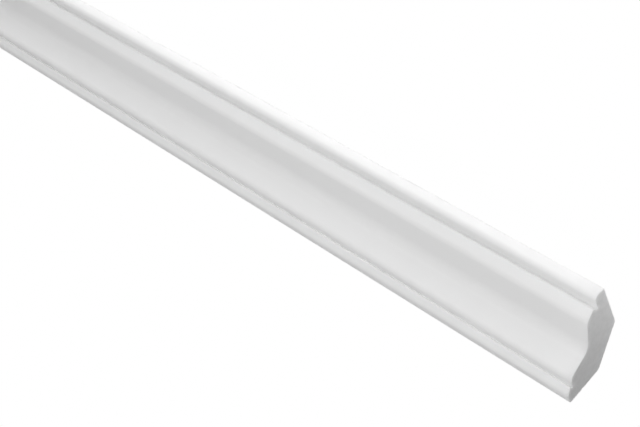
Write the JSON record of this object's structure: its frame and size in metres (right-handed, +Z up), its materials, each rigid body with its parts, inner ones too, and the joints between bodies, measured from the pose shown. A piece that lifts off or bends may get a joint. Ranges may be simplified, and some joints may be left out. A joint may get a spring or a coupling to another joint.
{
  "type": "crown moulding length",
  "caption": "Straight length of crown moulding with nosing, ovolo, cove and small foot, cut square at both ends, fixed in the corner between wall and ceiling.",
  "frame": {"origin": "centre of the flat face that meets the wall, halfway along the length", "axes": "+X along the length, +Y into the wall, +Z up to the ceiling; the moulded front faces -Y and down"},
  "size_m": [1, 0.06, 0.0515],
  "materials": {
    "primed_foam": "white primed rigid foam, smooth and satin on the moulded front, dull on the back, with a fine-grained grey-white core at the sawn ends"
  },
  "bodies": {
    "root": {"crown_moulding": "primed_foam"}
  },
  "joints": []
}
